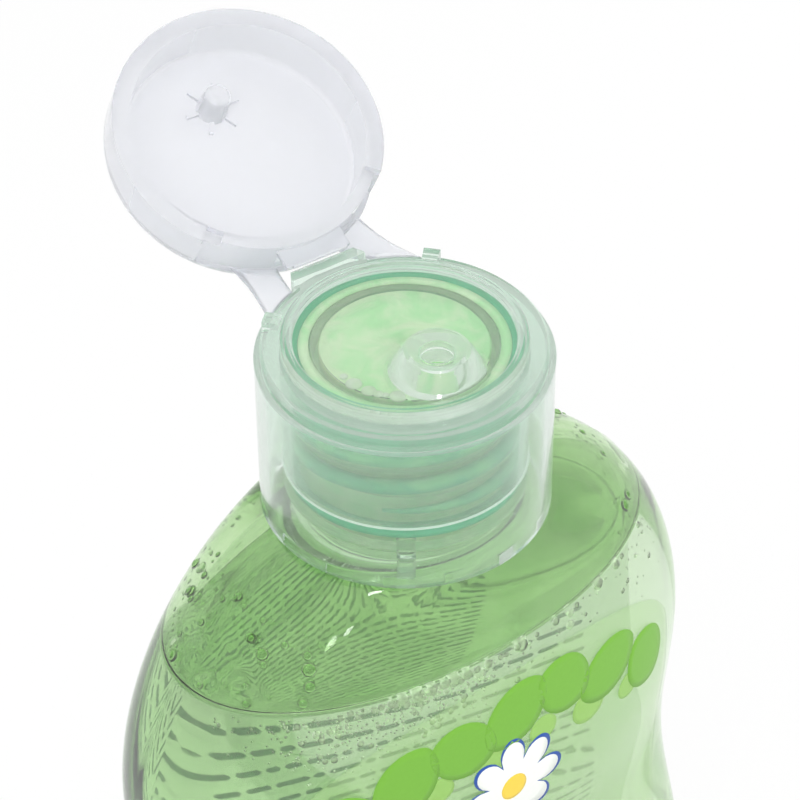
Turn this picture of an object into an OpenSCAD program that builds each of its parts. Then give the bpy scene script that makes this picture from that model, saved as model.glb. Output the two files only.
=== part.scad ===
/* [Bottle] */
// Height of the bottle from the table to the lower rim of the cap
body_h = 150; // [142:1:175]
// Width of the bottle at its base, outside the rounded edge
base_w = 86; // [78:0.5:94]
// Depth of the bottle at its base
base_d = 46; // [42:0.5:50]
// Widest part of the lower bulge
hip_w = 92.5; // [86:0.5:98]
// Depth of the lower bulge
hip_d = 49.5; // [46:0.5:54]
// Height of the lower bulge
hip_z = 57; // [45:1:65]
// Width of the waist
waist_w = 82.4; // [76:0.2:86]
// Depth of the waist
waist_d = 42.4; // [40:0.2:46]
// Height of the waist
waist_z = 96; // [88:1:100]
// Width of the upper bulge, under the shoulder
chest_w = 83.6; // [80:0.2:90]
// Depth of the upper bulge
chest_d = 45.4; // [42:0.2:50]
// Height at which the shoulder starts to turn in
chest_z = 115; // [110:1:118]
// How full the shoulder's curve is across the width, 2 being a plain ellipse
shoulder_full_w = 1.94; // [1.6:0.02:2.4]
// How full the shoulder's curve is across the depth
shoulder_full_d = 1.58; // [1.4:0.02:2.2]
// How square the bottle's oval is in plan, 2 being a plain ellipse
oval_squareness = 2.1; // [2:0.05:2.6]
// Thickness of the blown wall
wall = 0.9; // [0.7:0.1:1.4]
// Radius of the edge round the base
base_corner = 6; // [4:0.5:9]
// Width of the flat ring that the bottle stands on
stand_w = 4; // [2.5:0.5:6]
// Height of the push-up under the base
push_up = 2.5; // [1.5:0.5:4]

/* [Neck] */
// Outer radius of the neck under its thread
neck_r = 12.9; // [12.7:0.1:13.1]
// Radius of the neck's bore
neck_bore_r = 11.4; // [11.2:0.1:11.6]
// Height of the neck's lip above the cap's lower rim
neck_h = 22.2; // [20:0.1:22.2]
// Radius at which the shoulder runs into the neck
neck_root_r = 14.6; // [14:0.1:15]
// Height of that root above the cap's lower rim
neck_root_z = 0.1; // [0:0.05:0.2]
// Radius of the bead round the neck
bead_r = 15; // [14:0.1:15.3]
// Height of the bead's lower face above the cap's lower rim
bead_z = 3.4; // [3:0.1:4]
// Height of the bead
bead_h = 2; // [1.5:0.1:2.4]
// Reach of the two stop lugs under the bead, from the neck's axis
lug_r = 16.2; // [15.5:0.1:16.4]
// Width of a stop lug
lug_w = 2.2; // [1.5:0.1:3]
// Bearing of the front stop lug, turned from the front towards the left side
lug_turn = 38; // [0:1:90]

/* [Shampoo] */
// Height of the shampoo's surface above the table
gel_level = 137; // [119:0.2:140]
// Gap between the shampoo and the wall
gel_gap = 0.15; // [0.1:0.05:0.3]

/* [Labels] */
// Width of each label
label_w = 62; // [50:1:66]
// Height of each label's lowest point above the table
label_z0 = 16; // [12:1:30]
// Height of each label's highest point above the table
label_z1 = 134; // [110:1:135]
// Height of the curved end at the top and foot of a label
label_crown = 14; // [8:1:25]
// Thickness of the label film
label_t = 0.12; // [0.08:0.02:0.2]
// Gap that keeps the film clear of the wall
label_gap = 0.15; // [0.12:0.01:0.2]

/* [Cap base] */
// Outer radius of the cap's skirt
cap_r = 18; // [17.6:0.1:18.4]
// Thickness of the skirt
cap_wall = 1.15; // [0.9:0.05:1.2]
// Height of the skirt, up to the small step under the lid
skirt_h = 21.4; // [20:0.1:21.8]
// Outer radius of the ledge that the lid closes on, and of the lid
ledge_r = 17.25; // [17:0.05:17.4]
// Height of the ledge above the skirt's lower rim
ledge_z = 23.05; // [22.8:0.05:23.2]
// Outer radius of the raised ring that the lid fits round
ring_r = 14.85; // [14.6:0.05:14.95]
// Height of the raised ring's crown
ring_z = 24.6; // [24.2:0.1:24.8]
// Radius of the thin deck inside the raised ring
deck_r = 13.3; // [13:0.1:13.5]
// Height of the deck's upper face
deck_z = 23.6; // [23.4:0.1:23.9]
// Thickness of the deck
deck_t = 1.1; // [0.9:0.1:1.2]
// Gap between the neck's lip and the deck
lip_gap = 0.2; // [0.15:0.05:0.4]
// Distance from the cap's axis forward to the spout
spout_off = 6.95; // [6:0.05:7]
// Radius of the spout's foot
spout_foot_r = 6.3; // [5.5:0.1:6.3]
// Radius of the spout's rounded crown
spout_top_r = 3.5; // [3:0.1:4]
// Height of the spout's crown
spout_z = 27; // [26.4:0.1:27.2]
// Depth of the dish in the spout's crown
spout_dish = 0.7; // [0.4:0.1:1]
// Radius of the spout's hole
orifice_r = 2; // [1.8:0.05:2.2]
// Gap between the sealing plug and the neck's bore
plug_gap = 0.15; // [0.05:0.05:0.2]
// Reach of the sealing plug below the deck
plug_len = 5; // [3:0.5:7]
// Thickness of the sealing plug and of the thread sleeve
plug_wall = 1; // [0.8:0.1:1.2]
// Inner radius of the sleeve that carries the cap's thread
sleeve_r = 13.95; // [13.7:0.05:14.1]
// Height of the sleeve's lower rim above the skirt's lower rim
sleeve_z = 7.4; // [6.5:0.1:10]
// Height of the two small horns that bound the straps' recess
horn_h = 1; // [0.6:0.1:1.4]
// Number of ratchet notches inside the skirt's lower rim
notches = 15; // [8:1:18]
// Height of a notch
notch_h = 1.3; // [1:0.1:1.6]
// Depth of a notch into the skirt
notch_d = 0.55; // [0.3:0.05:0.6]
// Angle that the cap stands turned from square on the bottle
cap_turn = -5; // [-20:1:20]

/* [Lid and hinge] */
// Angle between the open lid and the closed lid
open_angle = 151.2; // [120:0.1:170]
// Gap under and inside the closed lid's rim
lid_gap = 0.15; // [0.1:0.05:0.3]
// Height of the inside of the lid's crown above the skirt's lower rim, closed
lid_floor_z = 29.9; // [29:0.1:31]
// Thickness of the lid's crown
lid_t = 1; // [0.9:0.1:1.4]
// Radius round the lid's upper edge
lid_round = 2.4; // [1.5:0.1:3]
// Radius of the sealing stud at its tip
stud_r = 1.75; // [1.5:0.05:1.75]
// Radius of the stud's foot on the lid
stud_foot_r = 2.1; // [1.9:0.05:2.3]
// How far the stud enters the spout's hole
stud_in = 1.65; // [1:0.05:2]
// Number of small ribs round the stud's foot
stud_ribs = 6; // [3:1:8]
// Distance from the cap's axis back to the hinge line
hinge_y = 18.82; // [18.7:0.02:19.2]
// Height of the hinge line above the skirt's lower rim
hinge_z = 23.73; // [23.5:0.01:23.9]
// Width of the film at the hinge line
hinge_w = 7.6; // [6:0.2:9]
// Half angle over which the lid's wall and the skirt's top are recessed for the straps
recess_turn = 48; // [45:1:55]
// Half angle of the full part of the skirt's top, between the straps
web_turn = 17; // [15:1:18]
// Depth of that recess
recess_d = 0.7; // [0.5:0.05:0.8]
// Bearing of each strap's middle on the skirt, from the hinge
strap_base_turn = 30; // [26:1:34]
// Bearing of each strap's middle on the lid, from the hinge
strap_lid_turn = 23; // [20:1:26]
// Height of each strap's end on the closed lid
strap_lid_z = 28.2; // [27:0.1:29]
// Width of a strap
strap_w = 6; // [4:0.2:7]
// Thickness of a strap
strap_t = 0.5; // [0.4:0.05:0.7]

/* [Hidden] */

clear_pet = [0.9, 0.96, 0.9, 0.35];
green_gel = [0.62, 0.83, 0.35, 0.75];
film = [0.93, 0.97, 0.9, 0.5];
milky_pp = [0.86, 0.93, 0.88, 0.8];

$fn = 96;
round_points = 6;
sides = 56;
shoulder_rings = 12;
body_rings = 13;
floor_rings = 3;
label_cols = 16;
label_rows = 22;

shoulder_top = body_h + neck_root_z;
deck_under = neck_h + lip_gap;
neck_hole_r = (neck_r + neck_bore_r) / 2;
lid_in_r = ring_r + lid_gap;
lid_rim_z = ledge_z + lid_gap;
lid_top_z = lid_floor_z + lid_t;
skirt_in_r = cap_r - cap_wall;
sleeve_out_r = sleeve_r + plug_wall;
plug_out_r = neck_bore_r - plug_gap;
stud_tip_z = spout_z - stud_in;
recess_r = ledge_r - recess_d;
recess_z = skirt_h + recess_d;
horn_turn = 7;
bevel = 0.35;
tab_w = hinge_w + 1.4;
tab_t = 0.75;
tab_gap = 0.28;
tab_reach = hinge_y - 0.3;

// Half of a width or depth of the bottle at height z, eased between its named levels
function ease(t) = (1 - cos(180 * t)) / 2;
function between(z, z0, v0, z1, v1) = v0 + (v1 - v0) * ease((z - z0) / (z1 - z0));
function side(z, base, hip, waist, chest) =
    (z < hip_z ? between(z, 0, base, hip_z, hip)
    : z < waist_z ? between(z, hip_z, hip, waist_z, waist)
    : between(z, waist_z, waist, chest_z, chest)) / 2;
function half_w(z) = side(z, base_w, hip_w, waist_w, chest_w);
function half_d(z) = side(z, base_d, hip_d, waist_d, chest_d);

// One ring of points round the bottle's oval: half width a, half depth b, squareness n
function signed_power(v, p) = sign(v) * pow(abs(v), p);
function oval_point(a, b, n, t) = [a * signed_power(cos(t), 2 / n), b * signed_power(sin(t), 2 / n)];
function ring(a, b, n, z) = [for (i = [0 : sides - 1]) let (p = oval_point(a, b, n, 360 * i / sides))
    [p[0], p[1], z]];

// Rings of the bottle's form, everywhere inset from the outside, from the floor up to height top
function floor_part(inset) = let (
        a = base_w / 2 - base_corner - stand_w, b = base_d / 2 - base_corner - stand_w)
    [for (i = [1 : floor_rings]) let (f = i / floor_rings)
        ring(a * f, b * f, 2, inset + push_up * (1 - f * f))];
function corner_part(inset) = let (r = base_corner - inset)
    [for (i = [0 : round_points]) let (t = 90 * i / round_points, z = inset + r * (1 - cos(t)))
        ring(half_w(z) - inset - r * (1 - sin(t)), half_d(z) - inset - r * (1 - sin(t)),
            oval_squareness, z)];
function body_part(inset) = [for (i = [1 : body_rings])
    let (z = base_corner + (chest_z - base_corner) * i / body_rings)
        ring(half_w(z) - inset, half_d(z) - inset, oval_squareness, z)];
function taper(u, fullness) = pow(max(0, 1 - pow(u, fullness)), 1 / fullness);
function shoulder_w(u, inset, root_r) =
    root_r + (chest_w / 2 - inset - root_r) * taper(u, shoulder_full_w);
function shoulder_d(u, inset, root_r) =
    root_r + (chest_d / 2 - inset - root_r) * taper(u, shoulder_full_d);
function shoulder_n(u) = 2 + (oval_squareness - 2) * taper(u, shoulder_full_w);
function shoulder_part(inset, root_r, top) = let (
        h = shoulder_top - inset - chest_z, u1 = (top - chest_z) / h,
        end = asin(pow(u1, shoulder_full_w / 2)))
    [for (i = [1 : shoulder_rings])
        let (u = i == shoulder_rings ? u1 : pow(sin(end * i / shoulder_rings), 2 / shoulder_full_w))
            ring(shoulder_w(u, inset, root_r), shoulder_d(u, inset, root_r), shoulder_n(u),
                chest_z + u * h)];
function form(inset, root_r, top) = concat(floor_part(inset), corner_part(inset), body_part(inset),
    shoulder_part(inset, root_r, top));

// Walls of quads between rings of n points, joined up in order, as triangles
function quad(p, q, r, s) = [[p, q, r], [p, r, s]];
function wall_faces(rings, n, closed = true) = [for (k = [0 : rings - 2], i = [0 : n - (closed ? 1 : 2)])
    each quad(k * n + i, (k + 1) * n + i, (k + 1) * n + (i + 1) % n, k * n + (i + 1) % n)];
function fan(pole, first, up) = [for (i = [0 : sides - 1])
    let (p = first + i, q = first + (i + 1) % sides) up ? [pole, q, p] : [pole, p, q]];
function flat(rings) = [for (r = rings) each r];
function reversed(v) = [for (i = [len(v) - 1 : -1 : 0]) v[i]];

// The blown shell in one skin: up the outside, over the neck hole and down the inside
module shell() {
    outside = form(0, neck_root_r, shoulder_top);
    inside = form(wall, neck_hole_r, shoulder_top - wall);
    rings = concat(outside, [ring(neck_hole_r, neck_hole_r, 2, shoulder_top)], reversed(inside));
    count = len(rings);
    points = concat(flat(rings), [[0, 0, push_up], [0, 0, push_up + wall]]);
    polyhedron(points, concat(wall_faces(count, sides), fan(count * sides, 0, false),
        fan(count * sides + 1, (count - 1) * sides, true)));
}

module neck() {
    translate([0, 0, body_h]) rotate_extrude() polygon([
        [neck_bore_r, neck_root_z - wall / 2], [neck_r, neck_root_z - wall / 2], [neck_r, bead_z],
        [bead_r - bead_h / 4, bead_z], [bead_r, bead_z + bead_h / 4],
        [bead_r, bead_z + bead_h / 2], [neck_r, bead_z + bead_h],
        [neck_r, neck_h - wall / 2], [neck_r - wall / 2, neck_h], [neck_bore_r, neck_h]]);
}

module stop_lug() {
    root = neck_r - wall / 2;
    translate([0, 0, body_h + neck_root_z]) rotate([90, 0, -lug_turn])
        translate([-lug_w / 2, 0, root])
            cube([lug_w, bead_z + bead_h / 4 - neck_root_z, lug_r - root]);
}

module bottle() {
    color(clear_pet) union() {
        shell();
        neck();
        for (turn = [0, 180]) rotate([0, 0, turn]) stop_lug();
    }
}

module shampoo() {
    inset = wall + gel_gap;
    rings = form(inset, neck_hole_r, gel_level);
    count = len(rings);
    color(green_gel) polyhedron(concat(flat(rings), [[0, 0, push_up + inset], [0, 0, gel_level]]),
        concat(wall_faces(count, sides), fan(count * sides, 0, false),
            fan(count * sides + 1, (count - 1) * sides, true)));
}

// A film wrapped on the front: rows of points from the lowest to the highest, with curved ends
function front_y(x, z, out) = let (
        u = max(0, (z - chest_z) / (shoulder_top - chest_z)), up = z > chest_z,
        a = up ? shoulder_w(u, 0, neck_root_r) : half_w(z),
        b = up ? shoulder_d(u, 0, neck_root_r) : half_d(z), n = up ? shoulder_n(u) : oval_squareness)
    -(b + out) * pow(1 - pow(abs(x) / (a + out), n), 1 / n);
function label_half(z) = let (end = 0.985, d = min(z - label_z0, label_z1 - z))
    label_w / 2 * sqrt(1 - pow(end * max(0, 1 - d / label_crown), 2));
function label_row(k, out) = let (z = label_z0 + (label_z1 - label_z0) * ease(k / label_rows))
    [for (i = [0 : label_cols]) let (x = label_half(z) * (2 * i / label_cols - 1))
        [x, front_y(x, z, out), z]];
module label() {
    n = label_cols + 1;
    rows = label_rows + 1;
    inner = [for (k = [0 : label_rows]) label_row(k, label_gap)];
    outer = [for (k = [0 : label_rows]) label_row(k, label_gap + label_t)];
    both = [for (k = [0 : label_rows]) concat(outer[k], reversed(inner[k]))];
    last = label_rows * 2 * n;
    ends = [for (i = [0 : label_cols - 1]) each concat(
        quad(i, i + 1, 2 * n - 2 - i, 2 * n - 1 - i),
        quad(last + i, last + 2 * n - 1 - i, last + 2 * n - 2 - i, last + i + 1))];
    color(film) polyhedron(flat(both), concat(wall_faces(rows, 2 * n), ends));
}
module front_label() label();
module back_label() rotate([0, 0, 180]) label();

// Everything of the cap stands on the skirt's lower rim and is turned with it
module on_bottle() translate([0, 0, body_h]) rotate([0, 0, cap_turn]) children();
module opened() translate([0, hinge_y, hinge_z]) rotate([-open_angle, 0, 0])
    translate([0, -hinge_y, -hinge_z]) children();
function open_point(p) = let (y = p[1] - hinge_y, z = p[2] - hinge_z)
    [p[0], hinge_y + y * cos(open_angle) + z * sin(open_angle),
        hinge_z - y * sin(open_angle) + z * cos(open_angle)];

// Points of a quarter round from angle t0 to t1 about a centre
function arc(cx, cy, r, t0, t1) = [for (i = [0 : round_points])
    let (t = t0 + (t1 - t0) * i / round_points) [cx + r * cos(t), cy + r * sin(t)]];

module cap_section() {
    crown = (ring_r - deck_r) / 2;
    plug_tip = deck_under - plug_len;
    polygon(concat(
        [[skirt_in_r, 0], [cap_r, 0], [cap_r, skirt_h], [ledge_r, skirt_h + bevel]],
        [[ledge_r, ledge_z - bevel], [ledge_r - bevel, ledge_z], [ring_r, ledge_z]],
        arc(ring_r - crown, ring_z - crown, crown, 0, 180),
        [[deck_r, deck_z], [0, deck_z], [0, deck_under], [plug_out_r - plug_wall, deck_under]],
        [[plug_out_r - plug_wall, plug_tip], [plug_out_r - bevel, plug_tip]],
        [[plug_out_r, plug_tip + 3 * bevel], [plug_out_r, deck_under], [sleeve_r, deck_under]],
        [[sleeve_r, sleeve_z], [sleeve_out_r, sleeve_z], [sleeve_out_r, skirt_h - cap_wall]],
        [[skirt_in_r, skirt_h - cap_wall]]));
}

module spout_outside() {
    dish_r = orifice_r + 0.2;
    translate([0, -spout_off, 0]) rotate_extrude() polygon(concat(
        [[0, deck_under], [spout_foot_r, deck_under], [spout_foot_r, deck_z]],
        [for (i = [1 : round_points]) let (t = i / round_points)
            [spout_foot_r + (spout_top_r - spout_foot_r) * t, deck_z + (spout_z - deck_z) * ease(t)]],
        [[dish_r, spout_z - spout_dish], [0, spout_z - spout_dish]]));
}
module spout_inside() {
    under = spout_z - spout_dish - deck_t;
    past = 1;
    translate([0, -spout_off, 0]) rotate_extrude() polygon([[0, deck_under - past],
        [orifice_r + deck_t, deck_under - past], [orifice_r + deck_t / 2, under], [0, under]]);
    translate([0, -spout_off, under - past]) cylinder(r = orifice_r, h = spout_z - under + 2 * past);
}

// One notch: a ramp that dies out in the unscrewing direction
module notch() {
    run = 360 / notches * 0.42;
    past = 1;
    inner_r = skirt_in_r - past;
    translate([0, 0, -past]) linear_extrude(notch_h + past) polygon([
        [inner_r * cos(run), inner_r * sin(run)], [inner_r, 0],
        [skirt_in_r + notch_d, 0], [skirt_in_r * cos(run), skirt_in_r * sin(run)]]);
}

// A curved block between two radii and heights, across the hinge side from one bearing to another
module hinge_side(r0, r1, z0, z1, turn0, turn1) {
    rotate_extrude(angle = turn1 - turn0, start = 90 - turn1)
        polygon([[r0, z0], [r1, z0], [r1, z1], [r0, z1]]);
}
module both_hands() {
    children();
    mirror([1, 0, 0]) children();
}
module horn() {
    hinge_side(ring_r + 3 * lid_gap, ledge_r, ledge_z - recess_d, ledge_z + horn_h,
        recess_turn - horn_turn, recess_turn);
}

// The bracket under the hinge film, on the skirt's top between the straps and clear of the closed lid
module hinge_tab() {
    top = hinge_z - tab_gap;
    root = recess_r - recess_d;
    intersection() {
        translate([-cap_r, 0, 0]) rotate([90, 0, 90]) linear_extrude(2 * cap_r) polygon([
            [root, skirt_h], [cap_r, skirt_h], [tab_reach, top - tab_t], [tab_reach, top],
            [recess_r + 2 * lid_gap, top], [recess_r + lid_gap, ledge_z - bevel], [root, ledge_z - bevel]]);
        linear_extrude(ring_z) polygon([[tab_w / 2 + recess_d, root], [tab_w / 2 + recess_d, ledge_r],
            [tab_w / 2, tab_reach], [-tab_w / 2, tab_reach],
            [-tab_w / 2 - recess_d, ledge_r], [-tab_w / 2 - recess_d, root]]);
    }
}

module cap_base() {
    color(milky_pp) on_bottle() difference() {
        union() {
            difference() {
                rotate_extrude() cap_section();
                both_hands() hinge_side(recess_r, cap_r + bevel, recess_z, ring_z, web_turn, recess_turn);
            }
            both_hands() horn();
            spout_outside();
            hinge_tab();
        }
        spout_inside();
        for (i = [0 : notches - 1]) rotate([0, 0, (i + 0.5) * 360 / notches]) notch();
    }
}

module lid_section() {
    inner_round = 0.6;
    polygon(concat(
        [[0, lid_floor_z]], arc(lid_in_r - inner_round, lid_floor_z - inner_round, inner_round, 90, 0),
        [[lid_in_r, lid_rim_z], [ledge_r, lid_rim_z]],
        arc(ledge_r - lid_round, lid_top_z - lid_round, lid_round, 0, 90), [[0, lid_top_z]]));
}

module stud() {
    tip_round = 1.5;
    translate([0, -spout_off, 0]) rotate_extrude() polygon(concat(
        [[0, lid_floor_z + lid_t / 2], [stud_foot_r, lid_floor_z + lid_t / 2], [stud_foot_r, lid_floor_z]],
        arc(stud_r - tip_round, stud_tip_z + tip_round, tip_round, 0, -90), [[0, stud_tip_z]]));
}

module stud_rib() {
    rib_t = 0.5;
    rib_l = stud_foot_r + 1.6;
    translate([-rib_t / 2, 0, lid_floor_z - rib_t]) cube([rib_t, rib_l, rib_t + lid_t / 2]);
}

module lid_tab() {
    root = recess_r - recess_d;
    translate([-tab_w / 2, root, hinge_z + tab_gap]) cube([tab_w, tab_reach - root, tab_t]);
}

// The horns' slots in the lid's rim, a gap wider than the horns on every side
module horn_slot() {
    free = lid_gap / ledge_r * 180 / PI;
    hinge_side(ring_r + 2 * lid_gap, cap_r, ledge_z, ledge_z + horn_h + lid_gap,
        recess_turn - horn_turn - free, recess_turn + free);
}

module lid() {
    color(milky_pp) on_bottle() opened() union() {
        difference() {
            rotate_extrude() lid_section();
            hinge_side(recess_r, cap_r, ledge_z, strap_lid_z + strap_t, -recess_turn, recess_turn);
            both_hands() horn_slot();
        }
        stud();
        translate([0, -spout_off, 0]) for (i = [0 : stud_ribs - 1])
            rotate([0, 0, (i + 0.5) * 360 / stud_ribs]) stud_rib();
        lid_tab();
    }
}

// The thin film along the hinge line, between the two tabs
module hinge_film() {
    film_r = 0.2;
    color(milky_pp) on_bottle() translate([-hinge_w / 2, hinge_y, hinge_z]) rotate([0, 90, 0])
        cylinder(r = film_r, h = hinge_w);
}

// A strap runs from the skirt's upper edge to the lid's wall; its two ends are thin round rods
strap_r = recess_r + strap_t;
function on_skirt(turn) = [strap_r * sin(turn), strap_r * cos(turn), recess_z + strap_t];
function on_lid(turn) = open_point([strap_r * sin(turn), strap_r * cos(turn), strap_lid_z]);
module rod(p) translate(p) sphere(d = strap_t, $fn = 16);
module strap(hand) {
    half = asin(strap_w / 2 / ledge_r);
    color(milky_pp) on_bottle() hull() for (side = [-half, half]) {
        rod(on_skirt(hand * strap_base_turn + side));
        rod(on_lid(hand * strap_lid_turn + side));
    }
}
module strap_left() strap(-1);
module strap_right() strap(1);

bottle();
shampoo();
front_label();
back_label();
cap_base();
lid();
hinge_film();
strap_left();
strap_right();
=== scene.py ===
import math
import random

import bmesh
import bpy
from mathutils import Matrix, Vector, noise


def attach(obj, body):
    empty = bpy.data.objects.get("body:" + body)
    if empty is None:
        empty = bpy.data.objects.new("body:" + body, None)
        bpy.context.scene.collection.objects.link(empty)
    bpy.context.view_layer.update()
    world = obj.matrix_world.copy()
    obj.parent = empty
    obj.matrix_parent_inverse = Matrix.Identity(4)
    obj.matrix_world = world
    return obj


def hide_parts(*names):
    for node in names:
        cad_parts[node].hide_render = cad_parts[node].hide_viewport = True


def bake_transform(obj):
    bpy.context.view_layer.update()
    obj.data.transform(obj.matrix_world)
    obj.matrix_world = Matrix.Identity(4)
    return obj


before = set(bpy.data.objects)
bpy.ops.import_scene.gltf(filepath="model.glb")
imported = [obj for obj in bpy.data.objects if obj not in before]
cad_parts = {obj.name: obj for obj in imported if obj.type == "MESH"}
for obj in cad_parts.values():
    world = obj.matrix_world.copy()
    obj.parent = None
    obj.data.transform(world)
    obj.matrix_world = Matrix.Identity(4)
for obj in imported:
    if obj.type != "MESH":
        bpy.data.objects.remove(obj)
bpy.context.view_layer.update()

MM = 0.001

# ---------------------------------------------------------------- sizes, as in the part's source, in mm
BODY_H = 150.0
BASE_W, BASE_D = 86.0, 46.0
HIP_W, HIP_D, HIP_Z = 92.5, 49.5, 57.0
WAIST_W, WAIST_D, WAIST_Z = 82.4, 42.4, 96.0
CHEST_W, CHEST_D, CHEST_Z = 83.6, 45.4, 115.0
FULL_W, FULL_D = 1.94, 1.58
SQUARENESS = 2.1
WALL = 0.9
BASE_CORNER = 6.0
STAND_W = 4.0
PUSH_UP = 2.5
NECK_R, NECK_BORE_R, NECK_H = 12.9, 11.4, 22.2
ROOT_R, ROOT_Z = 14.6, 0.1
BEAD_R, BEAD_Z, BEAD_H = 15.0, 3.4, 2.0
LUG_R, LUG_W, LUG_TURN = 16.2, 2.2, 38.0
GEL_LEVEL = 137.0
WETTED = 0.7  # the gel's skin lies just inside the wall's inner face, so that no air shows between them
LABEL_W, LABEL_Z0, LABEL_Z1, LABEL_CROWN = 62.0, 16.0, 134.0, 14.0
LABEL_T, LABEL_GAP = 0.12, 0.15
GLUED_FACE = -0.06
DECK_UNDER = 22.4
CAP_TURN = math.radians(-5)
SHOULDER_TOP = BODY_H + ROOT_Z
SEAM = 0.12  # how far the mould's parting line stands out, on both narrow sides
NECK_HOLE_R = (NECK_R + NECK_BORE_R) / 2
THREAD_PITCH = 4.2
PLUG_WALL = 1.15
CONTACT = 0.06  # gel reaches this far into the face it wets, so that no air shows between them
MENISCUS = 1.0  # how far the gel climbs the wall over its level surface
COAT_FOOT, COAT_TOP = GEL_LEVEL + 0.15, BODY_H - 1.05
RING_POINTS = 168


# ---------------------------------------------------------------- small helpers
def srgb(code):
    """A colour written as sRGB hex, turned to the linear values that shaders use."""
    parts = [int(code[i:i + 2], 16) / 255 for i in (1, 3, 5)]
    return [p / 12.92 if p <= 0.04045 else ((p + 0.055) / 1.055) ** 2.4 for p in parts] + [1.0]


def add(tree, kind, inputs=None, **settings):
    """Adds a node with its settings; an input is a value, or a socket to link from."""
    made = tree.nodes.new(kind)
    for key, value in settings.items():
        setattr(made, key, value)
    for key, value in (inputs or {}).items():
        if isinstance(value, bpy.types.NodeSocket):
            tree.links.new(value, made.inputs[key])
        else:
            made.inputs[key].default_value = value
    return made


def new_material(name):
    made = bpy.data.materials.new(name)
    made.use_nodes = True
    made.node_tree.nodes.clear()
    return made, made.node_tree


def finish_material(tree, surface, volume=None):
    out = add(tree, "ShaderNodeOutputMaterial", {"Surface": surface.outputs[0]})
    if volume:
        tree.links.new(volume.outputs[0], out.inputs["Volume"])


def mesh_piece(name, points, faces, material, smooth=True):
    """A mesh object from points in mm; its place is in its mesh."""
    mesh = bpy.data.meshes.new(name)
    mesh.from_pydata([Vector(p) * MM for p in points], [], faces)
    mesh.validate()
    mesh.update()
    if smooth:
        mesh.shade_smooth()
    piece = bpy.data.objects.new(name, mesh)
    bpy.context.scene.collection.objects.link(piece)
    mesh.materials.append(material)
    return piece


def mend_normals(piece):
    bm = bmesh.new()
    bm.from_mesh(piece.data)
    bmesh.ops.remove_doubles(bm, verts=bm.verts, dist=1e-7)
    bmesh.ops.recalc_face_normals(bm, faces=bm.faces)
    bm.to_mesh(piece.data)
    bm.free()


# ---------------------------------------------------------------- the bottle's form
def ease(t):
    return (1 - math.cos(math.pi * t)) / 2


def side(z, base, hip, waist, chest):
    for z0, v0, z1, v1 in ((0, base, HIP_Z, hip), (HIP_Z, hip, WAIST_Z, waist),
                           (WAIST_Z, waist, CHEST_Z, chest)):
        if z < z1 or z1 == CHEST_Z:
            return (v0 + (v1 - v0) * ease((z - z0) / (z1 - z0))) / 2


def half_w(z):
    return side(z, BASE_W, HIP_W, WAIST_W, CHEST_W)


def half_d(z):
    return side(z, BASE_D, HIP_D, WAIST_D, CHEST_D)


def taper(u, fullness):
    return max(0.0, 1 - u ** fullness) ** (1 / fullness)


def shoulder(u, inset=0.0, root_r=ROOT_R):
    """Half width, half depth and squareness of the shoulder at a share u of its height."""
    return (root_r + (CHEST_W / 2 - inset - root_r) * taper(u, FULL_W),
            root_r + (CHEST_D / 2 - inset - root_r) * taper(u, FULL_D),
            2 + (SQUARENESS - 2) * taper(u, FULL_W))


def oval_point(a, b, n, z, t):
    c, s = math.cos(t), math.sin(t)
    return math.copysign(a * abs(c) ** (2 / n), c), math.copysign(b * abs(s) ** (2 / n), s), z


def oval(a, b, n, z, count):
    return [oval_point(a, b, n, z, 2 * math.pi * i / count) for i in range(count)]


def form(inset, root_r, top, count=RING_POINTS, body_rings=90, shoulder_rings=46):
    """Rings of the form from the push-up to height top, inset from the outside all over."""
    rings = []
    for i in range(1, 13):
        f = i / 12
        rings.append(oval((BASE_W / 2 - BASE_CORNER - STAND_W) * f, (BASE_D / 2 - BASE_CORNER - STAND_W) * f,
                          2, inset + PUSH_UP * (1 - f * f), count))
    r = BASE_CORNER - inset
    for i in range(11):
        t = math.pi / 2 * i / 10
        z = inset + r * (1 - math.cos(t))
        d = inset + r * (1 - math.sin(t))
        rings.append(oval(half_w(z) - d, half_d(z) - d, SQUARENESS, z, count))
    for i in range(1, body_rings + 1):
        z = BASE_CORNER + (CHEST_Z - BASE_CORNER) * i / body_rings
        rings.append(oval(half_w(z) - inset, half_d(z) - inset, SQUARENESS, z, count))
    h = SHOULDER_TOP - inset - CHEST_Z
    u1 = (top - CHEST_Z) / h
    end = math.asin(min(1.0, u1 ** (FULL_W / 2)))
    for i in range(1, shoulder_rings + 1):
        u = u1 if i == shoulder_rings else math.sin(end * i / shoulder_rings) ** (2 / FULL_W)
        a, b, n = shoulder(u, inset, root_r)
        rings.append(oval(a, b, n, CHEST_Z + u * h, count))
    return rings


def skin(rings, closed=True):
    """Quads between rings, with the first and last rings closed to a pole."""
    count = len(rings[0])
    points = [p for ring in rings for p in ring]
    faces = []
    for k in range(len(rings) - 1):
        for i in range(count):
            j = (i + 1) % count
            faces.append((k * count + i, k * count + j, (k + 1) * count + j, (k + 1) * count + i))
    if closed:
        for ring, first in ((rings[0], 0), (rings[-1], (len(rings) - 1) * count)):
            pole = len(points)
            points.append((0, 0, ring_pole(ring)))
            for i in range(count):
                faces.append((pole, first + i, first + (i + 1) % count))
    return points, faces


def ring_pole(ring):
    """Height of a pole: level with its ring, or a little over the smallest ring of the push-up."""
    z = ring[0][2]
    return z if z > 10 else z + PUSH_UP / 144


def circle(r, z, count=RING_POINTS):
    return oval(r, r, 2, z, count)


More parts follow.
